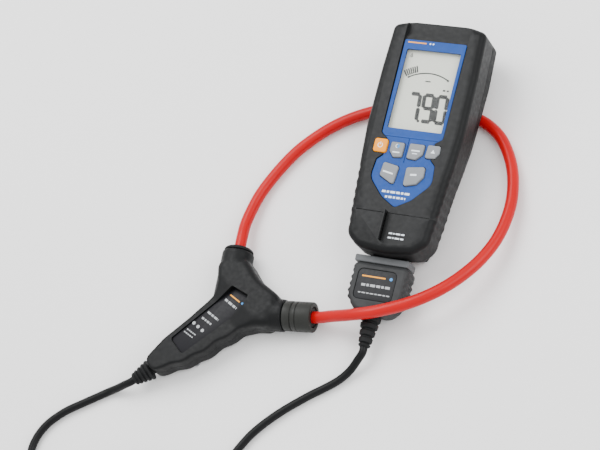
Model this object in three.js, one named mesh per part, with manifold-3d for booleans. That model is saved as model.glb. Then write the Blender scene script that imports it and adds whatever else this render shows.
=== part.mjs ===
// Flexible-coil clamp meter: hand-held meter, plug-on adapter, lead, and a
// Y-shaped handle that carries the flexible measuring coil.
// Millimetres, +Z up. The origin is on the surface the object rests on,
// below the hub of the handle, where its two arms and its grip meet.

import * as THREE from 'three';
import { mergeVertices } from 'three/addons/utils/BufferGeometryUtils.js';
import Module from 'manifold-3d';

const wasm = await Module();
wasm.setup();

// ---- driving dimensions -------------------------------------------------

const GAP = 0.3;

// Meter: x across, y along towards its top end, z = 0 on its front rails.
const METER_PLACE = [106.2, 51.3, 33.4];
const METER_TILT = 4.6;
const METER_DEPTH = 33;
const METER_SPLIT = -20;
const METER_WALL = 2.4;
const METER_EDGE = 4.5;
const FACE_FLOOR = -2.2;
const BUTTON_TOP = 0.8;
const BUTTON_FOOT = -6;
const WINDOW_SIZE = [38.6, 57];
const WINDOW_CENTRE = [0.2, 114.3];
const BOARD_TOP = -12;
const BOARD_THICK = 1.6;
const BATTERY_RADIUS = 5.25;
const BATTERY_LENGTH = 44.5;
const BATTERY_AXIS_Z = -24.6;

// Adapter, in the meter's frame.
const ADAPTER_X = -2.6;
const ADAPTER_FRONT = -10.5;
const ADAPTER_BACK = -27;
const ADAPTER_SPLIT = -20;
const ADAPTER_END = -39;
const RELIEF_END = -60.3;
const RELIEF_X = -3.6;
const RELIEF_Z = -18.5;

// Handle: y along the line between its two arms, grip towards -y.
const HANDLE_TURN = -39;
const HANDLE_THICK = 22;
const GRIP_THICK = 19;
const HANDLE_SPLIT = 11;
const HANDLE_EDGE = 5;
const AXIS_Z = 11;
const ARM_LENGTH = 43;
const ARM_ROOT = 36;
const ARM_RADIUS = 11;
const GRIP_END = -63;
const GRIP_AXIS_Z = 10;
const GRIP_TURN = -8;
const COLLAR_RADIUS = 10.2;
const COLLAR_LENGTH = 20;
const HANDLE_RELIEF_END = -77.5;

// Flexible coil and lead.
const COIL_RADIUS = 4;
const LEAD_RADIUS = 2.7;
const BUNDLE_CENTRE = [-26, -148, 9.3];
const BUNDLE_RADIUS = 27;
const BUNDLE_SECTION = 8.1;

// ---- materials ----------------------------------------------------------

function material(color, roughness, metalness = 0) {
  return new THREE.MeshStandardMaterial({ color, roughness, metalness });
}

const BLACK = () => material(0x232425, 0.62);
const SOFT_BLACK = () => material(0x1d1e1f, 0.75);
const GREY = () => material(0x3a3c3e, 0.6);
const BLUE = () => material(0x2f62a8, 0.45);
const BUTTON_GREY = () => material(0x9a9da0, 0.55);
const BOARD_GREEN = () => material(0x1f5a3a, 0.5);
const STEEL = () => material(0xa8aaad, 0.35, 1);
const RED = () => material(0xc8202b, 0.4);

// ---- shape helpers ------------------------------------------------------

// Polygon [[x, y, radius], ...] with each corner rounded by an arc.
function roundedOutline(corners, segments = 4) {
  const points = [];
  const count = corners.length;
  for (let i = 0; i < count; i += 1) {
    const [x, y, radius = 0] = corners[i];
    const before = corners[(i + count - 1) % count];
    const after = corners[(i + 1) % count];
    const corner = new THREE.Vector2(x, y);
    if (radius === 0) {
      points.push(corner);
      continue;
    }
    const toBefore = new THREE.Vector2(before[0], before[1]).sub(corner).normalize();
    const toAfter = new THREE.Vector2(after[0], after[1]).sub(corner).normalize();
    const half = Math.acos(THREE.MathUtils.clamp(toBefore.dot(toAfter), -1, 1)) / 2;
    const reach = radius / Math.tan(half);
    const centre = toBefore.clone().add(toAfter).normalize();
    centre.multiplyScalar(radius / Math.sin(half)).add(corner);
    const start = corner.clone().addScaledVector(toBefore, reach);
    const end = corner.clone().addScaledVector(toAfter, reach);
    const from = Math.atan2(start.y - centre.y, start.x - centre.x);
    let sweep = Math.atan2(end.y - centre.y, end.x - centre.x) - from;
    if (sweep > Math.PI) sweep -= 2 * Math.PI;
    if (sweep < -Math.PI) sweep += 2 * Math.PI;
    for (let k = 0; k <= segments; k += 1) {
      const angle = from + sweep * k / segments;
      points.push(new THREE.Vector2(
        centre.x + radius * Math.cos(angle),
        centre.y + radius * Math.sin(angle),
      ));
    }
  }
  return points;
}

function mirrored(half) {
  const other = half.filter(([x]) => x !== 0).map(([x, y, r]) => [-x, y, r]).reverse();
  return [...half, ...other];
}

function rectangle(cx, cy, width, height, radius = 0, segments = 3) {
  const a = width / 2;
  const b = height / 2;
  return roundedOutline([
    [cx + a, cy - b, radius],
    [cx + a, cy + b, radius],
    [cx - a, cy + b, radius],
    [cx - a, cy - b, radius],
  ], segments);
}

// Outline moved along its normals by `distance` (outwards when positive).
function offsetOutline(points, distance) {
  const area = THREE.ShapeUtils.area(points);
  const side = area > 0 ? 1 : -1;
  return points.map((point, i) => {
    const a = points[(i + points.length - 1) % points.length];
    const b = points[(i + 1) % points.length];
    const normal = new THREE.Vector2(b.y - a.y, a.x - b.x).normalize();
    return point.clone().addScaledVector(normal, side * distance);
  });
}

function signedVolume(geometry) {
  const position = geometry.attributes.position;
  const index = geometry.index;
  let sum = 0;
  const a = new THREE.Vector3();
  const b = new THREE.Vector3();
  const c = new THREE.Vector3();
  for (let i = 0; i < index.count; i += 3) {
    a.fromBufferAttribute(position, index.getX(i));
    b.fromBufferAttribute(position, index.getX(i + 1));
    c.fromBufferAttribute(position, index.getX(i + 2));
    sum += a.dot(b.cross(c));
  }
  return sum / 6;
}

function solid(geometry) {
  geometry.deleteAttribute('normal');
  geometry.deleteAttribute('uv');
  const merged = mergeVertices(geometry, 1e-4);
  const triangles = Array.from(merged.index.array);
  if (signedVolume(merged) < 0) {
    for (let i = 0; i < triangles.length; i += 3) {
      [triangles[i], triangles[i + 1]] = [triangles[i + 1], triangles[i]];
    }
  }
  return new wasm.Manifold(new wasm.Mesh({
    numProp: 3,
    vertProperties: new Float32Array(merged.attributes.position.array),
    triVerts: new Uint32Array(triangles),
  }));
}

// Flat plate of the outline between two heights, with optional rounded rims.
function plate(points, low, high, edge = 0, edgeSegments = 3) {
  const shape = new THREE.Shape(points);
  const options = { depth: high - low - 2 * edge, bevelEnabled: edge > 0, steps: 1 };
  if (edge > 0) {
    options.bevelThickness = edge;
    options.bevelSize = edge;
    options.bevelOffset = -edge;
    options.bevelSegments = edgeSegments;
  }
  const geometry = new THREE.ExtrudeGeometry(shape, options);
  geometry.translate(0, 0, low + edge);
  return solid(geometry);
}

function box(x0, x1, y0, y1, z0, z1) {
  const geometry = new THREE.BoxGeometry(x1 - x0, y1 - y0, z1 - z0);
  geometry.translate((x0 + x1) / 2, (y0 + y1) / 2, (z0 + z1) / 2);
  return solid(geometry);
}

// Solid turned about the y axis from [radius, y] points.
function turned(profile, sides = 24) {
  const points = profile.map(([r, y]) => new THREE.Vector2(r, y));
  return new THREE.LatheGeometry(points, sides);
}

// Turned solid whose profile is closed through the axis.
function turnedSolid(profile, sides) {
  const ends = [[0, profile[0][1]], ...profile, [0, profile[profile.length - 1][1]]];
  return turned(ends, sides);
}

function turnedRing(profile, sides) {
  return turned([...profile, profile[0]], sides);
}

function upright(cx, cy, radius, low, high, sides = 16) {
  const geometry = turnedSolid([[radius, low], [radius, high]], sides);
  geometry.rotateX(Math.PI / 2);
  geometry.translate(cx, cy, 0);
  return solid(geometry);
}

function circleShape(radius, sides) {
  const points = [];
  for (let i = 0; i < sides; i += 1) {
    const angle = 2 * Math.PI * i / sides;
    points.push(new THREE.Vector2(radius * Math.cos(angle), radius * Math.sin(angle)));
  }
  return new THREE.Shape(points);
}

function sweep(points, radius, sides, steps) {
  const path = new THREE.CatmullRomCurve3(points.map((p) => new THREE.Vector3(...p)), false, 'centripetal');
  return solid(new THREE.ExtrudeGeometry(circleShape(radius, sides), { steps, extrudePath: path }));
}

function screw(cx, cy, headLow, headHigh, tip, headRadius = 2.6, shankRadius = 1.25) {
  const profile = [[headRadius, headLow], [headRadius, headHigh], [shankRadius, headHigh], [shankRadius, tip]];
  const geometry = turnedSolid(profile, 12);
  geometry.rotateX(Math.PI / 2);
  geometry.translate(cx, cy, 0);
  const slotFrom = headLow - 1;
  const slot = box(cx - 1.7, cx + 1.7, cy - 0.3, cy + 0.3, slotFrom, headLow + 0.7);
  const cross = box(cx - 0.3, cx + 0.3, cy - 1.7, cy + 1.7, slotFrom, headLow + 0.7);
  return solid(geometry).subtract(slot).subtract(cross);
}

// ---- assembly -----------------------------------------------------------

const meterFrame = new THREE.Matrix4().makeRotationX(THREE.MathUtils.degToRad(METER_TILT));
meterFrame.setPosition(...METER_PLACE);
const handleFrame = new THREE.Matrix4().makeRotationZ(THREE.MathUtils.degToRad(HANDLE_TURN));
const worldFrame = new THREE.Matrix4();

const group = new THREE.Group();
group.name = 'clamp_meter';

function addPart(name, shape, look, frame) {
  const mesh = shape.getMesh();
  const geometry = new THREE.BufferGeometry();
  geometry.setAttribute('position', new THREE.BufferAttribute(new Float32Array(mesh.vertProperties), 3));
  geometry.setIndex(new THREE.BufferAttribute(new Uint32Array(mesh.triVerts), 1));
  geometry.applyMatrix4(frame);
  const flat = geometry.toNonIndexed();
  flat.computeVertexNormals();
  const part = new THREE.Mesh(flat, look);
  part.name = name;
  group.add(part);
}

// ---- meter case ---------------------------------------------------------

const caseOutline = roundedOutline(mirrored([
  [0, 0, 60],
  [20, 2.4, 10],
  [28.6, 9.8, 9],
  [30.4, 26, 40],
  [34.6, 86, 90],
  [34.3, 128, 90],
  [33.1, 160, 5],
  [20, 163.4, 30],
]), 3);

const plateHalf = [
  [0, 31.4, 3],
  [10.5, 37.6, 14],
  [21.8, 50, 9],
  [20.6, 62.8, 2.5],
  [16.8, 66.4, 2],
  [16.8, 78.2, 2],
  [21.7, 81.8, 2.5],
  [22.1, 149.6, 1.2],
];
const plateOutline = roundedOutline(mirrored(plateHalf), 3);

const BUTTONS = [
  {
    name: 'button_power',
    colour: 0xe8962a,
    corners: [[-24.6, 67.6], [-15.2, 67.6], [-15.2, 77.2], [-24.6, 77.2]],
    radius: 1.8,
  },
  {
    name: 'button_backlight',
    corners: [[-9.4, 65.2], [-3.4, 65.9], [-3.2, 75.9], [-12.6, 75.9], [-12.6, 69.2]],
    radius: 1.2,
  },
  {
    name: 'button_record',
    corners: [[0, 65.6], [6.4, 65.2], [10.6, 69.2], [11, 76.2], [0.4, 76.2]],
    radius: 1.2,
  },
  {
    name: 'button_arrow',
    corners: [[12.6, 67.2], [19.6, 67.6], [22.2, 71.4], [22, 76.6], [13.2, 76.6]],
    radius: 1.4,
  },
  {
    name: 'button_peak',
    corners: [[-4.6, 46.2], [-3.4, 59.4], [-14.6, 61.4], [-15.4, 51.8]],
    radius: 1.6,
  },
  {
    name: 'button_select',
    corners: [[2.4, 46.2], [11.2, 48.6], [15.2, 54.2], [14.8, 61.2], [2, 59.4]],
    radius: 1.6,
  },
];

function buttonOutline(button, grow) {
  const corners = button.corners.map(([x, y]) => [x, y, button.radius]);
  return offsetOutline(roundedOutline(corners, 3), grow);
}

const caseScrews = [[-26, 151], [26, 151], [-20.5, 12.5], [20.5, 12.5]];
const inner = offsetOutline(caseOutline, -METER_WALL);
const lowInner = offsetOutline(caseOutline, -METER_WALL - 1.2);
const wholeCase = plate(caseOutline, -METER_DEPTH, 0, METER_EDGE, 2);

function caseBosses(low, high) {
  let bosses = upright(caseScrews[0][0], caseScrews[0][1], 3.6, low, high);
  for (const [x, y] of caseScrews.slice(1)) {
    bosses = bosses.add(upright(x, y, 3.6, low, high));
  }
  return bosses;
}

const channelOutline = roundedOutline([
  ...mirrored(plateHalf.slice(0, -1)).slice(0, plateHalf.length - 1),
  [22.6, 149.6, 0],
  [22.6, 170, 0],
  [-22.6, 170, 0],
  [-22.6, 149.6, 0],
  ...mirrored(plateHalf.slice(0, -1)).slice(plateHalf.length - 1),
], 3);
const channel = offsetOutline(channelOutline, 0.35);

let frontShell = wholeCase.subtract(box(-50, 50, -10, 180, -50, METER_SPLIT));
frontShell = frontShell.subtract(plate(inner, METER_SPLIT - 1, -4).subtract(caseBosses(-50, 10)));
frontShell = frontShell.subtract(plate(channel, FACE_FLOOR, 5));
frontShell = frontShell.subtract(plate(
  rectangle(...WINDOW_CENTRE, WINDOW_SIZE[0] + 1.6, WINDOW_SIZE[1] + 1.6, 1),
  -10,
  5,
));
for (const button of BUTTONS) {
  frontShell = frontShell.subtract(plate(buttonOutline(button, 0.45), -10, 5));
}
for (const [x, y] of caseScrews) {
  frontShell = frontShell.subtract(upright(x, y, 1.6, -30, -9.5));
}
const socketMouth = box(ADAPTER_X - 10.7, ADAPTER_X + 10.7, -5, 5.9, -22, -16);
frontShell = frontShell.subtract(socketMouth);
frontShell = frontShell.subtract(box(-3.9, -3.3, 8, 27.5, -0.5, 1));
addPart('meter_front_shell', frontShell, BLACK(), meterFrame);

let rearShell = wholeCase.intersect(box(-50, 50, -10, 180, -50, METER_SPLIT - GAP));
const coverOutline = rectangle(0, 49, 36, 62, 3);
let rearCavity = plate(lowInner, -METER_DEPTH + METER_WALL, METER_SPLIT + 2);
rearCavity = rearCavity.subtract(caseBosses(-50, 10));
rearCavity = rearCavity.subtract(upright(0, 23, 3.4, -50, -23));
rearShell = rearShell.subtract(rearCavity);
rearShell = rearShell.subtract(plate(offsetOutline(coverOutline, GAP), -40, -31.2));
rearShell = rearShell.subtract(box(-13, 13, 28, 77, -40, -28));
rearShell = rearShell.subtract(socketMouth);
for (const [x, y] of caseScrews) {
  rearShell = rearShell.subtract(upright(x, y, 3, -40, -30.2));
  rearShell = rearShell.subtract(upright(x, y, 1.6, -40, -15));
}
rearShell = rearShell.subtract(upright(0, 23, 1.6, -40, -24));
addPart('meter_rear_shell', rearShell, SOFT_BLACK(), meterFrame);

let batteryCover = plate(coverOutline, -METER_DEPTH, -31.5);
batteryCover = batteryCover.subtract(upright(0, 23, 2.9, -40, -32));
batteryCover = batteryCover.subtract(upright(0, 23, 1.6, -40, -30));
addPart('battery_cover', batteryCover, SOFT_BLACK(), meterFrame);
addPart('battery_cover_screw', screw(0, 23, -32.9, -32.3, -24.8, 2.5), STEEL(), meterFrame);

caseScrews.forEach(([x, y], i) => {
  addPart(`case_screw_${i + 1}`, screw(x, y, -32, -30.5, -10.2), STEEL(), meterFrame);
});

// ---- meter face ---------------------------------------------------------

let faceplate = plate(plateOutline, -1.9, -0.8);
faceplate = faceplate.subtract(plate(rectangle(...WINDOW_CENTRE, ...WINDOW_SIZE, 0.8), -5, 5));
for (const button of BUTTONS) {
  faceplate = faceplate.subtract(plate(buttonOutline(button, 0.45), -10, 5));
}
faceplate = faceplate.subtract(box(-1.5, -1.1, 62.6, 79, -1.2, 5));
addPart('faceplate', faceplate, BLUE(), meterFrame);

const windowLens = plate(rectangle(...WINDOW_CENTRE, WINDOW_SIZE[0] + 0.8, WINDOW_SIZE[1] + 0.8, 0.8), -3.9, -2.25);
addPart('display_window', windowLens, material(0xdfe6e2, 0.08), meterFrame);
addPart('display_glass', plate(rectangle(...WINDOW_CENTRE, 43, 61, 0.5), -7.2, -4.4), material(0xc9cec3, 0.3), meterFrame);
const frameOuter = plate(rectangle(...WINDOW_CENTRE, 44, 62, 1), -9.5, -7.5);
const displayFrame = frameOuter.subtract(plate(rectangle(...WINDOW_CENTRE, 34, 48, 1), -12, -5));
addPart('display_frame', displayFrame, material(0xe6e6e2, 0.5), meterFrame);
addPart('display_connector', box(-18.5, 18.5, 85, 88, -11.7, -9.8), material(0xc98f9b, 0.7), meterFrame);

for (const button of BUTTONS) {
  const body = plate(buttonOutline(button, 0), BUTTON_FOOT, BUTTON_TOP, 0.7, 2);
  addPart(button.name, body, button.colour ? material(button.colour, 0.5) : BUTTON_GREY(), meterFrame);
}

// ---- inside the meter ---------------------------------------------------

addPart('keypad_mat', plate(rectangle(0, 62, 52, 38, 3), -11.7, -7), material(0x6e7274, 0.85), meterFrame);
const boardLow = BOARD_TOP - BOARD_THICK;
addPart('main_board', plate(rectangle(0, 84, 52, 124, 2), boardLow, BOARD_TOP), BOARD_GREEN(), meterFrame);
addPart('buzzer', upright(14, 98, 5.5, boardLow - 3.4, boardLow - GAP, 20), material(0x17181a, 0.4), meterFrame);
addPart('processor', box(-15, -3, 118, 130, boardLow - 1.9, boardLow - GAP), material(0x15161a, 0.45), meterFrame);

for (const [i, x] of [-6.4, 6.4].entries()) {
  const profile = [
    [BATTERY_RADIUS, 0],
    [BATTERY_RADIUS, BATTERY_LENGTH - 1],
    [1.9, BATTERY_LENGTH - 1],
    [1.9, BATTERY_LENGTH],
  ];
  const cell = turnedSolid(profile, 20);
  cell.translate(x, 30, BATTERY_AXIS_Z);
  addPart(`battery_${i + 1}`, solid(cell), material(0x8a6a2c, 0.4, 0.5), meterFrame);
}
addPart('battery_flat_contact', box(-12, 12, 75, 75.7, -28, -20.6), STEEL(), meterFrame);
addPart('battery_spring_contact', box(-12, 12, 28.7, 29.5, -27.6, -20.6), STEEL(), meterFrame);

let socket = box(ADAPTER_X - 12.4, ADAPTER_X + 13, 6, 14, -25.2, -14);
socket = socket.subtract(box(ADAPTER_X - 10.3, ADAPTER_X + 10.3, 0, 8.6, -21.8, -16.2));
addPart('bottom_socket', socket, material(0x2b2d2f, 0.5), meterFrame);

// ---- adapter ------------------------------------------------------------

const adapterOutline = roundedOutline(mirrored([
  [19.9, -4.9, 4.3],
  [20.2, -29, 9],
  [11, ADAPTER_END, 8],
]).map(([x, y, r]) => [x + ADAPTER_X, y, r]), 3);
const adapterInner = offsetOutline(adapterOutline, -2.6);
const adapterWhole = plate(adapterOutline, ADAPTER_BACK, ADAPTER_FRONT, 4, 2);
const adapterScrews = [[ADAPTER_X - 14.2, -11.5], [ADAPTER_X + 14.2, -11.5]];
let adapterHollow = plate(adapterInner, ADAPTER_BACK + 2.2, ADAPTER_FRONT - 2.2);
for (const [x, y] of adapterScrews) {
  adapterHollow = adapterHollow.subtract(upright(x, y, 2.9, -40, 0));
}
const plugHole = box(ADAPTER_X - 10.3, ADAPTER_X + 10.3, -8, 2, -21.8, -16.2);
const reliefHole = turnedSolid([[4.4, -45], [4.4, -34]], 16).translate(RELIEF_X, 0, RELIEF_Z);
let adapterShell = adapterWhole.subtract(adapterHollow).subtract(plugHole).subtract(solid(reliefHole));
const labelOutline = rectangle(ADAPTER_X - 1, -20.5, 26, 20, 3);
adapterShell = adapterShell.subtract(plate(offsetOutline(labelOutline, GAP), ADAPTER_FRONT - 1, 0));
for (const side of [-1, 1]) {
  for (let k = 0; k < 4; k += 1) {
    const groove = upright(ADAPTER_X + side * 21.3, -13.5 - 4.4 * k, 1.7, -40, 0, 8);
    adapterShell = adapterShell.subtract(groove);
  }
}
const lowerHalf = box(-60, 60, -60, 20, -60, ADAPTER_SPLIT - GAP);
const upperHalf = box(-60, 60, -60, 20, ADAPTER_SPLIT, 20);
let adapterFront = adapterShell.intersect(upperHalf);
let adapterRear = adapterShell.intersect(lowerHalf);
for (const [x, y] of adapterScrews) {
  adapterFront = adapterFront.subtract(upright(x, y, 1.2, -30, -14.5, 12));
  adapterRear = adapterRear.subtract(upright(x, y, 1.2, -30, -15, 12));
  adapterRear = adapterRear.subtract(upright(x, y, 2.2, -40, -25.2, 12));
}
addPart('adapter_front_shell', adapterFront, GREY(), meterFrame);
addPart('adapter_rear_shell', adapterRear, GREY(), meterFrame);
adapterScrews.forEach(([x, y], i) => {
  addPart(`adapter_screw_${i + 1}`, screw(x, y, -26.6, -25.5, -15, 1.9, 0.9), STEEL(), meterFrame);
});
addPart('adapter_label', plate(labelOutline, ADAPTER_FRONT - 0.7, ADAPTER_FRONT - 0.2), BLACK(), meterFrame);

let neck = plate(rectangle(ADAPTER_X - 1, -2.6, 38, 4, 0.8), -26, -11.6);
neck = neck.subtract(plugHole);
addPart('adapter_neck', neck, material(0x55585a, 0.6), meterFrame);
addPart('adapter_plug', box(ADAPTER_X - 9.9, ADAPTER_X + 9.9, -12, 5.6, -21.4, -16.6), material(0x101112, 0.5), meterFrame);
addPart('adapter_board', box(ADAPTER_X - 10.4, ADAPTER_X + 10.4, -33, -13, -24.4, -23), BOARD_GREEN(), meterFrame);

// Ribbed sleeve: flange inside the shell, neck through its wall, ribs outside.
function reliefProfile(inside, wall, end, width) {
  const ribs = 4;
  const pitch = (end - wall - 1.2) / ribs;
  const profile = [[4.9, inside], [4.9, inside + 1.8], [4, inside + 1.8], [4, wall + 0.6]];
  for (let k = 0; k < ribs; k += 1) {
    const from = wall + 0.6 + pitch * k;
    const radius = width - 0.7 * k;
    profile.push([radius, from]);
    profile.push([radius - 0.2, from + pitch * 0.7]);
    profile.push([radius - 1.2, from + pitch * 0.74]);
    profile.push([radius - 1.3, from + pitch * 0.98]);
  }
  profile.push([width - 2.8, end - 0.6], [width - 3.2, end]);
  return profile;
}

const adapterRelief = turnedSolid(reliefProfile(34.2, -ADAPTER_END, -RELIEF_END, 6.8), 16);
adapterRelief.rotateX(Math.PI);
adapterRelief.translate(RELIEF_X, 0, RELIEF_Z);
addPart('adapter_strain_relief', solid(adapterRelief), SOFT_BLACK(), meterFrame);

// ---- handle -------------------------------------------------------------

const armTip = ARM_ROOT * Math.SQRT1_2;
const armSide = ARM_RADIUS * Math.SQRT1_2;
const handleOutline = roundedOutline([
  [0, 31.2, 30],
  [10.5, 33.6, 12],
  [20, 35.6, 6.6],
  [armTip + armSide, armTip - armSide, 6.6],
  [24.2, 8.5, 10],
  [20.6, -1, 14],
  [17.6, -18, 40],
  [16.6, -30, 30],
  [12.4, -44, 30],
  [3.6, GRIP_END, 5.2],
  [-7.2, GRIP_END, 5.2],
  [-10.6, -44, 40],
  [-10.9, -20, 60],
  [-12.2, 0, 14],
  [-14.5, 4.5, 8],
  [-armTip - armSide, armTip - armSide, 6.6],
  [-armTip + armSide, armTip + armSide, 6.6],
], 3);

const toArm = {
  right: new THREE.Matrix4().makeRotationZ(-Math.PI / 4).setPosition(0, 0, AXIS_Z),
  left: new THREE.Matrix4().makeRotationZ(Math.PI / 4).setPosition(0, 0, AXIS_Z),
};

function alongArm(arm, geometry) {
  geometry.applyMatrix4(toArm[arm]);
  return solid(geometry);
}

const handleScrews = [[0, 11.5], [-7.2, -37], [10.6, -37]];
let handleWhole = plate(handleOutline, 0, HANDLE_THICK, HANDLE_EDGE, 3);
for (const arm of ['left', 'right']) {
  const tip = arm === 'left' ? 0.9 : 0.5;
  const tube = [[ARM_RADIUS, 10], [ARM_RADIUS, ARM_LENGTH - tip], [ARM_RADIUS - tip, ARM_LENGTH]];
  handleWhole = handleWhole.add(alongArm(arm, turnedSolid(tube, 20)));
}
// The grip lies lower than the hub, below a slanted step.
const gripStep = plate([[16, 22.6], [-1, GRIP_THICK], [-90, GRIP_THICK], [-90, 40], [16, 40]], -60, 60);
handleWhole = handleWhole.subtract(gripStep.transform([0, 1, 0, 0, 0, 0, 1, 0, 1, 0, 0, 0, 0, 0, 0, 1]));
let handleHollow = plate(roundedOutline([
  [9, 16, 3],
  [17, 2, 3],
  [14, -18, 3],
  [13.6, -30, 5],
  [9.4, -44, 5],
  [4.2, -58.4, 1.5],
  [-6.6, -58.4, 1.5],
  [-7.8, -44, 5],
  [-8, -18, 3],
  [-9.4, 0, 3],
  [-9, 14, 3],
], 2), 2.6, GRIP_THICK - 3.4);
for (const [x, y] of handleScrews) {
  handleHollow = handleHollow.subtract(upright(x, y, 3.1, -5, 40));
}
let handleShell = handleWhole.subtract(handleHollow);
handleShell = handleShell.subtract(alongArm('right', turnedSolid([[5.6, 14], [5.6, 29], [8.2, 29], [8.2, 60]], 20)));
handleShell = handleShell.subtract(alongArm('left', turnedSolid([[5, 14], [5, 35], [6.6, 35], [6.6, 60]], 16)));
const toGripEnd = new THREE.Matrix4().makeTranslation(-2, 1 + GRIP_END, GRIP_AXIS_Z)
  .multiply(new THREE.Matrix4().makeRotationZ(THREE.MathUtils.degToRad(GRIP_TURN)))
  .multiply(new THREE.Matrix4().makeTranslation(0, -1 - GRIP_END, 0));
const gripHole = turnedSolid([[4.4, -70], [4.4, -56]], 16).applyMatrix4(toGripEnd);
handleShell = handleShell.subtract(solid(gripHole));
const handleLabel = roundedOutline([
  [-6.4, -40, 2],
  [8, -40, 2],
  [9.6, -2, 1],
  [9, 13, 1],
  [6, 19, 1],
  [-7, 14.4, 1],
], 2);
handleShell = handleShell.subtract(plate(offsetOutline(handleLabel, GAP), GRIP_THICK - 1.6, 40));

let handleTop = handleShell.intersect(box(-80, 80, -90, 80, HANDLE_SPLIT + GAP, 40));
let handleBottom = handleShell.intersect(box(-80, 80, -90, 80, -5, HANDLE_SPLIT));
for (const [x, y] of handleScrews) {
  handleTop = handleTop.subtract(upright(x, y, 1.6, 0, 16.4, 12));
  handleBottom = handleBottom.subtract(upright(x, y, 1.6, -5, 20, 12));
  handleBottom = handleBottom.subtract(upright(x, y, 2.9, -5, 2.6, 14));
}
addPart('handle_top_shell', handleTop, BLACK(), handleFrame);
addPart('handle_bottom_shell', handleBottom, BLACK(), handleFrame);
handleScrews.forEach(([x, y], i) => {
  addPart(`handle_screw_${i + 1}`, screw(x, y, 0.6, 2.2, 15.8), STEEL(), handleFrame);
});
addPart('handle_label', plate(handleLabel, GRIP_THICK - 1.4, GRIP_THICK - 1), SOFT_BLACK(), handleFrame);
addPart('handle_board', box(-7.2, 12.2, -31, 6, 7.4, 9), BOARD_GREEN(), handleFrame);

const handleRelief = turnedSolid(reliefProfile(55, 0.6 - GRIP_END, -HANDLE_RELIEF_END, 7.2), 16);
handleRelief.rotateX(Math.PI);
handleRelief.applyMatrix4(toGripEnd);
addPart('handle_strain_relief', solid(handleRelief), SOFT_BLACK(), handleFrame);

// Fixed end of the coil: a grommet in the mouth of the left arm.
const grommet = turnedRing([
  [4.3, 36],
  [6.2, 36],
  [6.2, ARM_LENGTH + GAP],
  [10.2, ARM_LENGTH + GAP],
  [10, ARM_LENGTH + 1.2],
  [9, ARM_LENGTH + 2.3],
  [7, ARM_LENGTH + 3.1],
  [4.3, ARM_LENGTH + 3.4],
], 20);
addPart('coil_grommet', alongArm('left', grommet), SOFT_BLACK(), handleFrame);

// Opening end: socket sleeve, locking collar and the coil's plug.
const sleeve = turnedRing([[6.1, 30], [7.9, 30], [7.9, 56], [6.1, 56]], 20);
addPart('coil_socket', alongArm('right', sleeve), material(0x2a2b2d, 0.5), handleFrame);

const collarStart = ARM_LENGTH + GAP;
const collarEnd = collarStart + COLLAR_LENGTH;
const collar = turnedRing([
  [8.2, collarStart],
  [COLLAR_RADIUS - 0.4, collarStart],
  [COLLAR_RADIUS, collarStart + 0.6],
  [COLLAR_RADIUS, collarStart + 5.4],
  [COLLAR_RADIUS - 0.7, collarStart + 5.8],
  [COLLAR_RADIUS - 0.7, collarStart + 6.4],
  [COLLAR_RADIUS, collarStart + 6.8],
  [COLLAR_RADIUS, collarStart + 9.6],
  [COLLAR_RADIUS - 0.7, collarStart + 10],
  [COLLAR_RADIUS - 0.7, collarStart + 10.6],
  [COLLAR_RADIUS, collarStart + 11],
  [COLLAR_RADIUS, collarEnd - 1.2],
  [COLLAR_RADIUS - 1.2, collarEnd],
  [7, collarEnd],
  [7, 56.5],
  [8.2, 56.5],
], 24);
addPart('lock_collar', alongArm('right', collar), SOFT_BLACK(), handleFrame);

const plug = turnedSolid([
  [5.2, 48],
  [5.7, 48.5],
  [5.7, 57],
  [6.6, 57],
  [6.6, 62.2],
  [6.2, 62.6],
  [4.35, 62.6],
  [4.35, 55],
], 20);
addPart('coil_plug', alongArm('right', plug), SOFT_BLACK(), handleFrame);

// ---- flexible coil ------------------------------------------------------

function armPoint(arm, distance) {
  const point = new THREE.Vector3(0, distance, 0);
  return point.applyMatrix4(toArm[arm]).applyMatrix4(handleFrame).toArray();
}

const coilPath = [
  armPoint('left', 33),
  armPoint('left', 40),
  armPoint('left', 47),
  [-5.9, 54, 10.4],
  [-7.6, 64.6, 8.2],
  [-7.2, 76, 6.6],
  [-5.8, 86.6, 5.4],
  [-3, 96.5, 4.6],
  [4, 112.2, 4.3],
  [12, 125.6, 4.3],
  [21.6, 137, 4.3],
  [32, 146.8, 4.3],
  [43.4, 154.8, 4.3],
  [57, 161.6, 4.3],
  [74, 167.4, 4.3],
  [93, 170.4, 4.3],
  [112, 170.4, 4.3],
  [130, 167.4, 4.3],
  [143, 162.4, 4.3],
  [155, 153, 4.6],
  [167, 134, 5.6],
  [173, 114, 7.4],
  [174.2, 98, 9.2],
  [172, 79.2, 12],
  [166.2, 62.8, 15.2],
  [158.4, 49.4, 18.4],
  [149.6, 38.4, 21.2],
  [139.8, 29.5, 23.2],
  [128.6, 22, 24.5],
  [117, 16.4, 24.9],
  [106, 12.4, 24.3],
  [95.2, 10.2, 21.9],
  [85.3, 9.1, 18.2],
  [75.4, 8.4, 14.2],
  [68.2, 7.4, 11.8],
  armPoint('right', 60.5),
  armPoint('right', 55.3),
];
addPart('flexible_coil', sweep(coilPath, COIL_RADIUS, 8, 72), RED(), worldFrame);

// ---- lead ---------------------------------------------------------------

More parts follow.
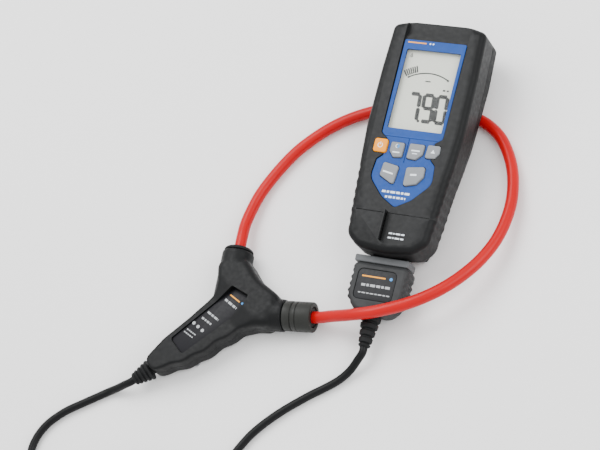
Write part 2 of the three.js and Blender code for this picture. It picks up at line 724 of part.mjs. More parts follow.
const adapterExit = new THREE.Vector3(RELIEF_X, RELIEF_END - GAP, RELIEF_Z).applyMatrix4(meterFrame);
const adapterOut = new THREE.Vector3(RELIEF_X, RELIEF_END - 3.5, RELIEF_Z).applyMatrix4(meterFrame);
const leadFromAdapter = [
  adapterExit.toArray(),
  adapterOut.toArray(),
  [99.8, -16, 7.8],
  [95.6, -22.8, 5],
  [89.2, -30.2, 3.2],
  [80.8, -37.3, 3],
  [72.2, -43.9, 3],
  [54.1, -60.1, 3],
  [41.8, -74.4, 3],
  [36.1, -83.9, 3],
  [28.4, -101, 3],
  [20.4, -119, 4],
  [11.8, -137.4, 6.6],
];
addPart('lead_adapter_end', sweep(leadFromAdapter, LEAD_RADIUS, 8, 34), SOFT_BLACK(), worldFrame);

const handleExit = new THREE.Vector3(0, HANDLE_RELIEF_END - GAP, 0);
handleExit.applyMatrix4(toGripEnd).applyMatrix4(handleFrame);
const handleOut = new THREE.Vector3(0, HANDLE_RELIEF_END - 3, -0.2);
handleOut.applyMatrix4(toGripEnd).applyMatrix4(handleFrame);
const leadFromHandle = [
  handleExit.toArray(),
  handleOut.toArray(),
  [-59, -62.2, 8.2],
  [-64.8, -64.8, 5.4],
  [-70.9, -67, 3.2],
  [-77.2, -71.2, 3],
  [-87, -78, 3],
  [-100, -87.5, 3],
  [-111, -100.5, 3],
  [-115, -116, 3],
  [-111, -131, 3],
  [-99, -142, 3],
  [-83, -145.4, 4],
  [-66.2, -142.4, 6.6],
];
addPart('lead_handle_end', sweep(leadFromHandle, LEAD_RADIUS, 8, 34), SOFT_BLACK(), worldFrame);

const section = [];
for (let i = 0; i < 8; i += 1) {
  const angle = 2 * Math.PI * i / 8;
  section.push([
    BUNDLE_RADIUS + BUNDLE_SECTION * Math.cos(angle),
    BUNDLE_SECTION * Math.sin(angle),
  ]);
}
const bundle = turnedRing(section, 24);
bundle.rotateX(Math.PI / 2);
bundle.translate(...BUNDLE_CENTRE);
addPart('lead_put_away_coil', solid(bundle), SOFT_BLACK(), worldFrame);

const tieRing = turnedRing([[8.6, -3], [9.2, -3], [9.2, 3], [8.6, 3]], 20);
tieRing.translate(BUNDLE_CENTRE[0] - BUNDLE_RADIUS, BUNDLE_CENTRE[1], BUNDLE_CENTRE[2]);
addPart('lead_tie', solid(tieRing), material(0x2a2a2a, 0.8), worldFrame);

export default group;
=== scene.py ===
import math

import bmesh
import bpy
from mathutils import Matrix, Vector


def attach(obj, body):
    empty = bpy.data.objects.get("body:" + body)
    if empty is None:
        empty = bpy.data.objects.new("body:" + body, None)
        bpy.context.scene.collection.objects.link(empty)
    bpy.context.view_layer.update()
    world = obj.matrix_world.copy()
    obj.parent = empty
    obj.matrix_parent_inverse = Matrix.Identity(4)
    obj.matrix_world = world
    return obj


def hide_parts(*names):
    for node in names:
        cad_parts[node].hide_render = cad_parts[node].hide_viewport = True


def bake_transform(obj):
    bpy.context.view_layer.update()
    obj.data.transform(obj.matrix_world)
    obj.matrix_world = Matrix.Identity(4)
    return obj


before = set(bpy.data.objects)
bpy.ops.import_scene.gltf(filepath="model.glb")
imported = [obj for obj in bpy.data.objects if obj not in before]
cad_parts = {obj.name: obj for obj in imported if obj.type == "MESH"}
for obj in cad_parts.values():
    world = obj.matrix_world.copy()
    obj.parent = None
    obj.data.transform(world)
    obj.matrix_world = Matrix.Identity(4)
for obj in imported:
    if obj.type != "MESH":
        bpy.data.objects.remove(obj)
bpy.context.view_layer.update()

MM = 0.001
SCENE = bpy.context.scene

# ---- placing ---------------------------------------------------------------

METER_TILT = 4.6
HANDLE_TURN = -39
ARM_SPREAD = 45
ARM_HEIGHT = 11


def turned_z(degrees):
    return Matrix.Rotation(math.radians(degrees), 4, "Z")


METER = (Matrix.Translation((0.1062, 0.0513, 0.0334))
         @ Matrix.Rotation(math.radians(METER_TILT), 4, "X") @ Matrix.Scale(MM, 4))
HANDLE = turned_z(HANDLE_TURN) @ Matrix.Scale(MM, 4)
TO_LEFT = Matrix.Translation((0, 0, ARM_HEIGHT)) @ turned_z(ARM_SPREAD)
TO_RIGHT = Matrix.Translation((0, 0, ARM_HEIGHT)) @ turned_z(-ARM_SPREAD)
LEFT_ARM, RIGHT_ARM = HANDLE @ TO_LEFT, HANDLE @ TO_RIGHT
LEFT_HEADING = 90 + HANDLE_TURN + ARM_SPREAD
RIGHT_HEADING = 90 + HANDLE_TURN - ARM_SPREAD
GRIP_END = HANDLE @ Matrix.Translation((-2, -62, 10)) @ turned_z(-8) @ Matrix.Translation((0, 62, 0))
BODY = "instrument"

# ---- driving dimensions, in millimetres unless a name says otherwise --------

COIL_RADIUS = 4
LEAD_RADIUS = 2.7
BUNDLE = Vector((-26, -148, 0))
RING = 27.0
CASE_BACK, CASE_SPLIT = -33, -20
ADAPTER_BACK, ADAPTER_FRONT = -27, -10.5
RELIEF_X, RELIEF_Z, RELIEF_END = -3.6, -18.5, 60.3
HANDLE_THICK, GRIP_THICK = 22, 19
ARM_RADIUS = 11

# ---- camera ----------------------------------------------------------------

camera_data = bpy.data.cameras.new("camera")
camera_data.sensor_width = 36
camera_data.lens = 120.1
camera_data.clip_start = 0.05
camera = bpy.data.objects.new("camera", camera_data)
right = Vector((0.90370, 0.27640, -0.32699)).normalized()
back = Vector((0.40624, -0.31227, 0.85875)).normalized()
right = (right - back * right.dot(back)).normalized()
up = back.cross(right)
camera.matrix_world = Matrix.Translation((0.58396, -0.35364, 1.17488)) @ Matrix((
    (right.x, up.x, back.x, 0),
    (right.y, up.y, back.y, 0),
    (right.z, up.z, back.z, 0),
    (0, 0, 0, 1),
))
SCENE.collection.objects.link(camera)
SCENE.camera = camera

# ---- outline helpers -------------------------------------------------------


def rounded(corners, segments=8):
    """Polygon of (x, y, radius) corners with each corner turned into an arc."""
    points = []
    count = len(corners)
    for i, corner in enumerate(corners):
        x, y = corner[0], corner[1]
        radius = corner[2] if len(corner) > 2 else 0
        here = Vector((x, y))
        if radius == 0:
            points.append((x, y))
            continue
        before = (Vector(corners[i - 1][:2]) - here).normalized()
        after = (Vector(corners[(i + 1) % count][:2]) - here).normalized()
        half = math.acos(max(-1, min(1, before.dot(after)))) / 2
        centre = here + (before + after).normalized() * (radius / math.sin(half))
        start = here + before * (radius / math.tan(half))
        end = here + after * (radius / math.tan(half))
        first = math.atan2(start.y - centre.y, start.x - centre.x)
        turn = math.atan2(end.y - centre.y, end.x - centre.x) - first
        if turn > math.pi:
            turn -= 2 * math.pi
        if turn < -math.pi:
            turn += 2 * math.pi
        for k in range(segments + 1):
            angle = first + turn * k / segments
            points.append((centre.x + radius * math.cos(angle), centre.y + radius * math.sin(angle)))
    return points


def mirrored(half):
    return half + [(-x, y, *rest) for x, y, *rest in reversed(half) if x != 0]


def rectangle(cx, cy, width, height, radius=0, segments=6):
    a, b = width / 2, height / 2
    return rounded([(cx + a, cy - b, radius), (cx + a, cy + b, radius),
                    (cx - a, cy + b, radius), (cx - a, cy - b, radius)], segments)


def turning(points):
    total = 0
    for i, (x, y) in enumerate(points):
        nx, ny = points[(i + 1) % len(points)]
        total += x * ny - nx * y
    return 1 if total > 0 else -1


def grown(points, distance):
    """Outline moved outwards by distance along its normals."""
    side = turning(points)
    result = []
    count = len(points)
    for i, (x, y) in enumerate(points):
        ax, ay = points[i - 1]
        bx, by = points[(i + 1) % count]
        length = math.hypot(bx - ax, by - ay) or 1
        result.append((x + side * distance * (by - ay) / length,
                       y - side * distance * (bx - ax) / length))
    return result


# ---- mesh helpers ----------------------------------------------------------


def new_object(name, verts, faces):
    mesh = bpy.data.meshes.new(name)
    mesh.from_pydata(verts, [], faces)
    mesh.validate()
    work = bmesh.new()
    work.from_mesh(mesh)
    bmesh.ops.recalc_face_normals(work, faces=work.faces)
    work.to_mesh(mesh)
    work.free()
    piece = bpy.data.objects.new(name, mesh)
    SCENE.collection.objects.link(piece)
    return piece


def rings(name, layers, capped=True):
    """Closed body from equally long rings of points, first and last capped."""
    count = len(layers[0])
    verts = [point for layer in layers for point in layer]
    faces = []
    for k in range(len(layers) - 1):
        for i in range(count):
            j = (i + 1) % count
            faces.append((k * count + i, k * count + j, (k + 1) * count + j, (k + 1) * count + i))
    if capped:
        faces.append(tuple(range(count - 1, -1, -1)))
        faces.append(tuple(range((len(layers) - 1) * count, len(layers) * count)))
    return new_object(name, verts, faces)


def slab(name, outline, low, high, low_edge=0.0, high_edge=0.0, segments=5, crown=None):
    """Plate with rounded rims; crown is extra (share of the size, height) rings on top."""
    profile = []
    for k in range(segments + 1 if low_edge else 1):
        angle = math.pi / 2 * k / segments
        profile.append((low_edge * (1 - math.sin(angle)), low + low_edge * (1 - math.cos(angle))))
    for k in range(segments + 1 if high_edge else 1):
        angle = math.pi / 2 * k / segments
        profile.append((high_edge * (1 - math.cos(angle)), high - high_edge * (1 - math.sin(angle))))
    layers = []
    for inset, height in profile:
        ring = grown(outline, -inset) if inset else outline
        layers.append([(x, y, height) for x, y in ring])
    if crown:
        cx, cy = (sum(p[i] for p in ring) / len(ring) for i in (0, 1))
        layers += [[(cx + (x - cx) * share, cy + (y - cy) * share, height) for x, y in ring] for share,
                   height in crown]
    return rings(name, layers)


def block(name, x0, x1, y0, y1, z0, z1):
    outline = [(x1, y0), (x1, y1), (x0, y1), (x0, y0)]
    return rings(name, [[(x, y, z0) for x, y in outline], [(x, y, z1) for x, y in outline]])


def lathe(name, profile, sides=64):
    """Body turned about the local y axis from (radius, y) points."""
    closed_on_axis = profile[0][0] == 0
    verts, faces, first = [], [], []
    for radius, y in profile:
        first.append(len(verts))
        if radius == 0:
            verts.append((0, y, 0))
            continue
        for k in range(sides):
            angle = 2 * math.pi * k / sides
            verts.append((radius * math.cos(angle), y, radius * math.sin(angle)))
    pairs = list(range(len(profile) - 1))
    if not closed_on_axis:
        pairs.append(len(profile) - 1)
    for i in pairs:
        j = (i + 1) % len(profile)
        for k in range(sides):
            n = (k + 1) % sides
            if profile[i][0] == 0:
                faces.append((first[i], first[j] + k, first[j] + n))
            elif profile[j][0] == 0:
                faces.append((first[i] + k, first[j], first[i] + n))
            else:
                faces.append((first[i] + k, first[i] + n, first[j] + n, first[j] + k))
    return new_object(name, verts, faces)


def upright(name, cx, cy, radius, low, high, sides=32):
    outline = [(cx + radius * math.cos(2 * math.pi * k / sides),
                cy + radius * math.sin(2 * math.pi * k / sides))
               for k in range(sides)]
    return slab(name, outline, low, high)


def cut(piece, cutters, operation="DIFFERENCE"):
    group = bpy.data.collections.new("cutters")
    for cutter in cutters:
        group.objects.link(cutter)
    modifier = piece.modifiers.new("cut", "BOOLEAN")
    modifier.operation = operation
    modifier.solver = "EXACT"
    modifier.operand_type = "COLLECTION"
    modifier.collection = group
    bake(piece)
    for cutter in cutters:
        mesh = cutter.data
        bpy.data.objects.remove(cutter)
        bpy.data.meshes.remove(mesh)
    bpy.data.collections.remove(group)
    return piece


def bake(piece):
    bpy.context.view_layer.update()
    depsgraph = bpy.context.evaluated_depsgraph_get()
    mesh = bpy.data.meshes.new_from_object(piece.evaluated_get(depsgraph))
    piece.modifiers.clear()
    old = piece.data
    piece.data = mesh
    mesh.name = piece.name
    bpy.data.meshes.remove(old)


def soften(piece, width, segments=2, angle=32):
    modifier = piece.modifiers.new("soft_edges", "BEVEL")
    modifier.width = width
    modifier.segments = segments
    modifier.limit_method = "ANGLE"
    modifier.angle_limit = math.radians(angle)
    modifier.use_clamp_overlap = True
    bake(piece)


def settle(piece, place, material, body, replaces=(), smooth=35, weighted=False):
    """Move the piece to its place and say what it rides on and replaces."""
    piece.data.transform(place)
    if smooth:
        piece.data.shade_smooth()
        piece.data.set_sharp_from_angle(angle=math.radians(smooth))
    if weighted:
        modifier = piece.modifiers.new("weighted", "WEIGHTED_NORMAL")
        modifier.keep_sharp = True
        modifier.weight = 80
        bake(piece)
    piece.data.materials.clear()
    piece.data.materials.append(material)
    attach(piece, body)
    if replaces:
        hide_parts(*replaces)
    return piece


def joined(name, pieces):
    verts, faces = [], []
    for piece in pieces:
        base = len(verts)
        verts += [tuple(v.co) for v in piece.data.vertices]
        faces += [tuple(base + i for i in polygon.vertices) for polygon in piece.data.polygons]
        mesh = piece.data
        bpy.data.objects.remove(piece)
        bpy.data.meshes.remove(mesh)
    mesh = bpy.data.meshes.new(name)
    mesh.from_pydata(verts, [], faces)
    result = bpy.data.objects.new(name, mesh)
    SCENE.collection.objects.link(result)
    return result


def flat_marks(name, outlines, low, high):
    return joined(name, [slab("mark", outline, low, high) for outline in outlines])


def stroke(x0, y0, x1, y1, width):
    length = math.hypot(x1 - x0, y1 - y0)
    nx, ny = -(y1 - y0) / length * width / 2, (x1 - x0) / length * width / 2
    return [(x0 + nx, y0 + ny), (x0 - nx, y0 - ny), (x1 - nx, y1 - ny), (x1 + nx, y1 + ny)]


def ring_mark(cx, cy, radius, width, start=0.0, end=360.0, steps=24):
    outer, inner = [], []
    for k in range(steps + 1):
        angle = math.radians(start + (end - start) * k / steps)
        outer.append((cx + (radius + width / 2) * math.cos(angle),
                      cy + (radius + width / 2) * math.sin(angle)))
        inner.append((cx + (radius - width / 2) * math.cos(angle),
                      cy + (radius - width / 2) * math.sin(angle)))
    return outer + inner[::-1]


def disc(cx, cy, radius, sides=20):
    return [(cx + radius * math.cos(2 * math.pi * k / sides),
             cy + radius * math.sin(2 * math.pi * k / sides))
            for k in range(sides)]


def smooth_path(points, per=6):
    """Centripetal Catmull-Rom through the points, ends included."""
    pts = [Vector(p) for p in points]
    pts = [pts[0] * 2 - pts[1]] + pts + [pts[-1] * 2 - pts[-2]]
    result = []
    for i in range(1, len(pts) - 2):
        p0, p1, p2, p3 = pts[i - 1:i + 3]
        t1 = max((p1 - p0).length ** 0.5, 1e-6)
        t2 = t1 + max((p2 - p1).length ** 0.5, 1e-6)
        t3 = t2 + max((p3 - p2).length ** 0.5, 1e-6)
        for k in range(per):
            t = t1 + (t2 - t1) * k / per
            a1 = p0 * ((t1 - t) / t1) + p1 * (t / t1)
            a2 = p1 * ((t2 - t) / (t2 - t1)) + p2 * ((t - t1) / (t2 - t1))
            a3 = p2 * ((t3 - t) / (t3 - t2)) + p3 * ((t - t2) / (t3 - t2))
            b1 = a1 * ((t2 - t) / t2) + a2 * (t / t2)
            b2 = a2 * ((t3 - t) / (t3 - t1)) + a3 * ((t - t1) / (t3 - t1))
            result.append(b1 * ((t2 - t) / (t2 - t1)) + b2 * ((t - t1) / (t2 - t1)))
    result.append(pts[-2])
    return result


def tube(name, path, radius, sides=16):
    """Closed round tube along path, with its section carried without twist."""
    layers = []
    tangent = (path[1] - path[0]).normalized()
    normal = tangent.orthogonal().normalized()
    for i, point in enumerate(path):
        ahead = path[min(i + 1, len(path) - 1)]
        behind = path[max(i - 1, 0)]
        tangent = (ahead - behind).normalized()
        normal = (normal - tangent * normal.dot(tangent)).normalized()
        side = tangent.cross(normal)
        layers.append([tuple(point + normal * (radius * math.cos(2 * math.pi * k / sides))
                             + side * (radius * math.sin(2 * math.pi * k / sides))) for k in range(sides)])
    return rings(name, layers)


# ---- materials -------------------------------------------------------------


def surface(name, colour, rough=0.5, grain=0.4, depth=0.03, vary=0.12, rough_vary=0.08,
            wear=0.0, coat=0.0, specular=0.15, metallic=0.0, patch=18.0, streaks=False):
    """Moulded or rubbery surface: fine grain, slow colour drift, uneven gloss."""
    material = bpy.data.materials.new(name)
    material.use_nodes = True
    nodes, links = material.node_tree.nodes, material.node_tree.links
    shader = nodes["Principled BSDF"]
    shader.inputs["Metallic"].default_value = metallic
    shader.inputs["Specular IOR Level"].default_value = specular
    shader.inputs["Coat Weight"].default_value = coat
    shader.inputs["Coat Roughness"].default_value = 0.12
    place = nodes.new("ShaderNodeTexCoord")
    source = place.outputs["Object"]
    if streaks:
        stretch = nodes.new("ShaderNodeMapping")
        stretch.inputs["Scale"].default_value = (1, 14, 14)
        links.new(source, stretch.inputs["Vector"])
        source = stretch.outputs["Vector"]

    def noise(scale, detail):
        node = nodes.new("ShaderNodeTexNoise")
        node.inputs["Scale"].default_value = scale
        node.inputs["Detail"].default_value = detail
        node.inputs["Roughness"].default_value = 0.55
        links.new(source, node.inputs["Vector"])
        return node.outputs["Fac"]

    def remap(value, low, high, to_low, to_high):
        node = nodes.new("ShaderNodeMapRange")
        node.inputs["From Min"].default_value = low
        node.inputs["From Max"].default_value = high
        node.inputs["To Min"].default_value = to_low
        node.inputs["To Max"].default_value = to_high
        links.new(value, node.inputs["Value"])
        return node.outputs["Result"]

    def mixed(factor, first, second):
        node = nodes.new("ShaderNodeMix")
        node.data_type = "RGBA"
        links.new(factor, node.inputs["Factor"])
        for socket, value in ((node.inputs[6], first), (node.inputs[7], second)):
            if isinstance(value, tuple):
                socket.default_value = (*value, 1)
            else:
                links.new(value, socket)
        return node.outputs[2]

    slow = noise(1000 / patch, 3)
    fine = noise(1000 / grain, 3)
    middle = noise(1000 / (grain * 6), 4)
    darker = tuple(c * (1 - vary) for c in colour)
    lighter = tuple(min(1, c * (1 + vary)) for c in colour)
    base = mixed(remap(slow, 0.3, 0.7, 0, 1), darker, lighter)
    speck = tuple(min(1, c * 1.35 + 0.004) for c in colour)
    base = mixed(remap(fine, 0.58, 0.8, 0, 0.35), base, speck)
    if wear:
        geometry = nodes.new("ShaderNodeNewGeometry")
        edge = remap(geometry.outputs["Pointiness"], 0.53, 0.62, 0, wear)
        rubbed = tuple(min(1, c * 2.2 + 0.03) for c in colour)
        base = mixed(edge, base, rubbed)
    links.new(base, shader.inputs["Base Color"])
    links.new(remap(middle, 0.3, 0.7, rough - rough_vary, rough + rough_vary),
              shader.inputs["Roughness"])
    bump = nodes.new("ShaderNodeBump")
    bump.inputs["Strength"].default_value = 0.6
    bump.inputs["Distance"].default_value = depth * MM
    links.new(fine, bump.inputs["Height"])
    links.new(bump.outputs["Normal"], shader.inputs["Normal"])
    return material


def srgb(r, g, b):
    return tuple(((c / 255 + 0.055) / 1.055) ** 2.4 if c > 10 else c / 255 / 12.92 for c in (r, g, b))


CASE = surface("case_plastic", srgb(16, 17, 18), rough=0.5, grain=0.5, depth=0.05, wear=0.25)
CASE_REAR = surface("rear_plastic", srgb(14, 15, 16), rough=0.56, grain=0.5, depth=0.05, wear=0.25)
PANEL = surface("blue_panel", srgb(18, 62, 132), rough=0.42, grain=0.35, depth=0.02, vary=0.07,
                wear=0.15)
KEY_GREY = surface("key_rubber", srgb(126, 129, 133), rough=0.55, grain=0.3, depth=0.03, vary=0.05,
                   wear=0.1)
KEY_ORANGE = surface("power_key_rubber", srgb(246, 152, 14), rough=0.5, grain=0.3, depth=0.03,
                     vary=0.05, wear=0.1)
LEGEND = surface("legend_ink", srgb(225, 232, 238), rough=0.5, grain=0.15, depth=0.01, vary=0.06)
LEGEND_DIM = surface("small_legend_ink", srgb(165, 168, 170), rough=0.55, grain=0.15, depth=0.01,
                     vary=0.1)
INK_BLUE = surface("blue_ink", srgb(70, 140, 205), rough=0.5, grain=0.15, depth=0.01, vary=0.06)
INK_ORANGE = surface("orange_ink", srgb(232, 158, 52), rough=0.5, grain=0.15, depth=0.01, vary=0.06)
LCD = surface("display_face", srgb(200, 203, 192), rough=0.35, grain=0.12, depth=0.004, vary=0.02,
              patch=40)
LCD_DARK = surface("display_segment", srgb(8, 9, 9), rough=0.4, grain=0.12, depth=0.004, vary=0.1)
ADAPTER = surface("adapter_plastic", srgb(48, 49, 50), rough=0.52, grain=0.55, depth=0.06, wear=0.3)
ADAPTER_LABEL = surface("adapter_label_plastic", srgb(34, 35, 37), rough=0.45, grain=0.3, depth=0.02)
NECK = surface("neck_plastic", srgb(86, 88, 90), rough=0.5, grain=0.4, depth=0.03, wear=0.3)
GRIP = surface("handle_plastic", srgb(16, 17, 18), rough=0.5, grain=0.45, depth=0.05, wear=0.25)
GRIP_LABEL = surface("handle_label_plastic", srgb(20, 20, 24), rough=0.42, grain=0.3, depth=0.02)
RUBBER = surface("black_rubber", srgb(18, 19, 20), rough=0.62, grain=0.4, depth=0.04, wear=0.2)
COLLAR = surface("collar_plastic", srgb(34, 35, 33), rough=0.45, grain=0.4, depth=0.03, wear=0.35)
LEAD = surface("lead_jacket", srgb(14, 15, 16), rough=0.42, grain=0.5, depth=0.02, vary=0.1)
SHEATH = surface("coil_sheath", srgb(176, 4, 12), rough=0.34, grain=0.6, depth=0.015, vary=0.06,
                 coat=0.04,
                 rough_vary=0.05, patch=30)
STEEL = surface("screw_steel", srgb(165, 167, 170), rough=0.32, grain=0.2, depth=0.01, metallic=1.0)
BOARD = surface("board_mask", srgb(28, 84, 52), rough=0.35, grain=0.5, depth=0.02, vary=0.2, patch=6,
                coat=0.3)
PART_BLACK = surface("component_black", srgb(24, 25, 27), rough=0.4, grain=0.2, depth=0.02)
CELL = surface("cell_sleeve", srgb(150, 120, 52), rough=0.3, grain=0.3, depth=0.005, metallic=0.6,
               streaks=True)
WHITE = surface("display_holder", srgb(226, 226, 220), rough=0.5, grain=0.4, depth=0.02, vary=0.05)
PINK = surface("contact_rubber", srgb(200, 146, 156), rough=0.7, grain=0.2, depth=0.03, streaks=True)
MAT_GREY = surface("keypad_rubber", srgb(110, 114, 116), rough=0.75, grain=0.3, depth=0.03)
TIE = surface("tie_fabric", srgb(20, 20, 21), rough=0.85, grain=0.5, depth=0.15, vary=0.2)


def clear_window():
    material = bpy.data.materials.new("window_clear")
    material.use_nodes = True
    nodes, links = material.node_tree.nodes, material.node_tree.links
    shader = nodes["Principled BSDF"]
    place = nodes.new("ShaderNodeTexCoord")
    noise = nodes.new("ShaderNodeTexNoise")
    noise.inputs["Scale"].default_value = 220
    noise.inputs["Detail"].default_value = 4
    links.new(place.outputs["Object"], noise.inputs["Vector"])
    for socket, low, high in (("Roughness", 0.04, 0.14), ("Alpha", 0.02, 0.035)):
        node = nodes.new("ShaderNodeMapRange")
        node.inputs["From Min"].default_value = 0.3
        node.inputs["From Max"].default_value = 0.7
        node.inputs["To Min"].default_value = low
        node.inputs["To Max"].default_value = high
        links.new(noise.outputs["Fac"], node.inputs["Value"])
        links.new(node.outputs["Result"], shader.inputs[socket])
    shader.inputs["Base Color"].default_value = (0.8, 0.84, 0.82, 1)
    return material


WINDOW = clear_window()

# ---- coil and lead ---------------------------------------------------------


def arm_point(degrees, distance):
    angle = math.radians(degrees)
    return (distance * math.cos(angle), distance * math.sin(angle), ARM_HEIGHT)


def route_length(path):
    return sum((b - a).length for a, b in zip(path, path[1:]))


COIL_ROUTE = [
    arm_point(LEFT_HEADING, 33), arm_point(LEFT_HEADING, 40), arm_point(LEFT_HEADING, 47),
    (-5.9, 54, 10.4), (-7.6, 64.6, 8.2), (-7.2, 76, 6.6), (-5.8, 86.6, 5.4), (-3, 96.5, 4.6),
    (4, 112.2, 4.3), (12, 125.6, 4.3), (21.6, 137, 4.3), (32, 146.8, 4.3), (43.4, 154.8, 4.3),
    (57, 161.6, 4.3), (74, 167.4, 4.3), (93, 170.4, 4.3), (112, 170.4, 4.3), (130, 167.4, 4.3),
    (143, 162.4, 4.3), (155, 153, 4.6), (167, 134, 5.6), (173, 114, 7.4), (174.2, 98, 9.2),
    (172, 79.2, 12), (166.2, 62.8, 15.2), (158.4, 49.4, 18.4), (149.6, 38.4, 21.2),
    (139.8, 29.5, 23.2), (128.6, 22, 24.5), (117, 16.4, 24.9), (106, 12.4, 24.3),
    (95.2, 10.2, 21.9), (85.3, 9.1, 18.2), (75.4, 8.4, 14.2), (68.2, 7.4, 11.8),
    arm_point(RIGHT_HEADING, 60.5), arm_point(RIGHT_HEADING, 55.3),
]
coil_path = [p * MM for p in smooth_path(COIL_ROUTE, 5)]
coil = tube("flexible_coil_sheath", coil_path, COIL_RADIUS * MM, 28)
settle(coil, Matrix.Identity(4), SHEATH, BODY, ["flexible_coil"], smooth=60)
coil.parent = None
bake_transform(coil)

def bundle_turns():
    """Five and a bit turns wound clockwise, side by side and then on each other."""
    rows = [(2.7, 3.5), (-2.7, 3.5), (-5.4, 8.2), (0, 8.2), (5.4, 8.2), (2.7, 12.9)]
    start, end = math.radians(-10), math.radians(-120)
    total = 5 * 2 * math.pi + (start - end)
    steps = 5 * 16 + 5
    points = []
    for k in range(steps + 1):
        travelled = total * k / steps
        turn = travelled / (2 * math.pi)
        row = min(int(turn), len(rows) - 2)
        change = min(1, max(0, (turn - row - 0.72) / 0.28))
        change = change * change * (3 - 2 * change)
        offset = rows[row][0] * (1 - change) + rows[row + 1][0] * change
        height = rows[row][1] * (1 - change) + rows[row + 1][1] * change
        angle = start - travelled
        points.append(tuple(BUNDLE + Vector(((RING + offset) * math.cos(angle),
                                             (RING + offset) * math.sin(angle), height))))
    return points


def placed(place, point):
    return tuple(place @ Vector(point) / MM)


LEAD_ROUTE = [
    *(placed(METER, (RELIEF_X, y, RELIEF_Z)) for y in (-50, -60.6, -63.8)),
    (99.8, -16, 7.6), (95.6, -22.8, 4.6), (89.2, -30.2, 3), (80.8, -37.3, 2.75), (72.2, -43.9, 2.75),
    (54.1, -60.1, 2.75),
    (41.8, -74.4, 2.75), (36.1, -83.9, 2.75), (28.4, -101, 2.75), (20.4, -119, 2.75), (12, -136, 3),
    *bundle_turns(),
    (-49, -168.6, 12.4), (-58, -162.4, 9), (-67, -155.6, 5.4), (-77, -149.8, 3.2), (-88, -145.8, 2.75),
    (-99, -142, 2.75),
    (-110.5, -131, 2.75), (-115, -116, 2.75), (-111, -100.5, 2.75), (-100, -87.5, 2.75),
    (-87, -78, 2.75),
    (-77.2, -71.2, 2.75), (-70.9, -67, 3), (-64.8, -64.4, 5.2), (-59, -61.8, 8),
    placed(GRIP_END, (0, -80.4, -0.2)), placed(GRIP_END, (0, -77.6, 0)),
    placed(GRIP_END, (0, -68, 0)),
]
lead_path = [p * MM for p in smooth_path(LEAD_ROUTE, 4)]
lead = tube("lead_cord", lead_path, LEAD_RADIUS * MM, 18)
settle(lead, Matrix.Identity(4), LEAD, BODY,
       ["lead_adapter_end", "lead_put_away_coil", "lead_handle_end"], smooth=60)
lead.parent = None

tie_outline = rectangle(0, 8.2, 18, 16.2, 7, 8)
tie = rings("lead_tie_band", [
    [(x, y, z) for x, y in grown(tie_outline, inset)]
    for inset, z in ((0, -3.2), (0, 3.2), (-0.9, 3.2), (-0.9, -3.2), (0, -3.2))
], capped=False)
bmesh_tie = bmesh.new()
bmesh_tie.from_mesh(tie.data)
bmesh.ops.remove_doubles(bmesh_tie, verts=bmesh_tie.verts, dist=0.001)
bmesh.ops.recalc_face_normals(bmesh_tie, faces=bmesh_tie.faces)
bmesh_tie.to_mesh(tie.data)
bmesh_tie.free()
soften(tie, 0.25, 2)
tie_place = Matrix.Translation((-0.053, -0.148, 0.0)) @ Matrix.Rotation(math.radians(90), 4,
        "X") @ Matrix.Scale(MM, 4)
settle(tie, tie_place, TIE, BODY, ["lead_tie"])

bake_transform(lead)
print("coil length", round(route_length(coil_path), 4), "lead length",
      round(route_length(lead_path), 4))

# ---- meter case ------------------------------------------------------------


def dense(outline, step):
    points = []
    for i, (x, y) in enumerate(outline):
        nx, ny = outline[(i + 1) % len(outline)]
        count = max(1, int(math.hypot(nx - x, ny - y) / step))
        points += [(x + (nx - x) * k / count, y + (ny - y) * k / count) for k in range(count)]
    return points


def scalloped(outline, low, high, pitch, depth):
    """Side edges between low and high pressed in by shallow finger waves."""
    result = []
    for x, y in outline:
        if low < y < high and abs(x) > 10:
            fade = min(1, (y - low) / 4, (high - y) / 4)
            wave = depth * fade * (0.5 - 0.5 * math.cos(2 * math.pi * (y - low) / pitch))
            x -= math.copysign(wave, x)
        result.append((x, y))
    return result


CASE_HALF = [(0, 0, 60), (20, 2.4, 10), (28.6, 9.8, 9), (30.4, 26, 40), (34.6, 86, 90), (34.3, 128, 90),
             (33.1, 160, 5), (20, 163.4, 30)]
PLATE_HALF = [(0, 31.4, 3), (10.5, 37.6, 14), (21.8, 50, 9), (20.6, 62.8, 2.5), (16.8, 66.4, 2),
              (16.8, 78.2, 2), (21.7, 81.8, 2.5), (22.1, 149.6, 1.2)]
BUTTONS = {
    "power": ([(-24.6, 67.6), (-15.2, 67.6), (-15.2, 77.2), (-24.6, 77.2)], 1.8),
    "backlight": ([(-9.4, 65.2), (-3.4, 65.9), (-3.2, 75.9), (-12.6, 75.9), (-12.6, 69.2)], 1.2),
    "record": ([(0, 65.6), (6.4, 65.2), (10.6, 69.2), (11, 76.2), (0.4, 76.2)], 1.2),
    "arrow": ([(12.6, 67.2), (19.6, 67.6), (22.2, 71.4), (22, 76.6), (13.2, 76.6)], 1.4),
    "peak": ([(-4.6, 46.2), (-3.4, 59.4), (-14.6, 61.4), (-15.4, 51.8)], 1.6),
    "select": ([(2.4, 46.2), (11.2, 48.6), (15.2, 54.2), (14.8, 61.2), (2, 59.4)], 1.6),
}
case_outline = rounded(mirrored(CASE_HALF), 10)
case_waved = scalloped(dense(case_outline, 1.2), 14, 62, 6.4, 0.55)
plate_outline = rounded(mirrored(PLATE_HALF), 8)


def button_outline(name, extra=0.0):
    corners, radius = BUTTONS[name]
    outline = rounded([(x, y, radius) for x, y in corners], 6)
    return grown(outline, extra) if extra else outline


channel = rounded([*mirrored(PLATE_HALF[:-1])[:7], (22.6, 149.6), (22.6, 172), (-22.6, 172),
                   (-22.6, 149.6),
                   *mirrored(PLATE_HALF[:-1])[7:]], 8)

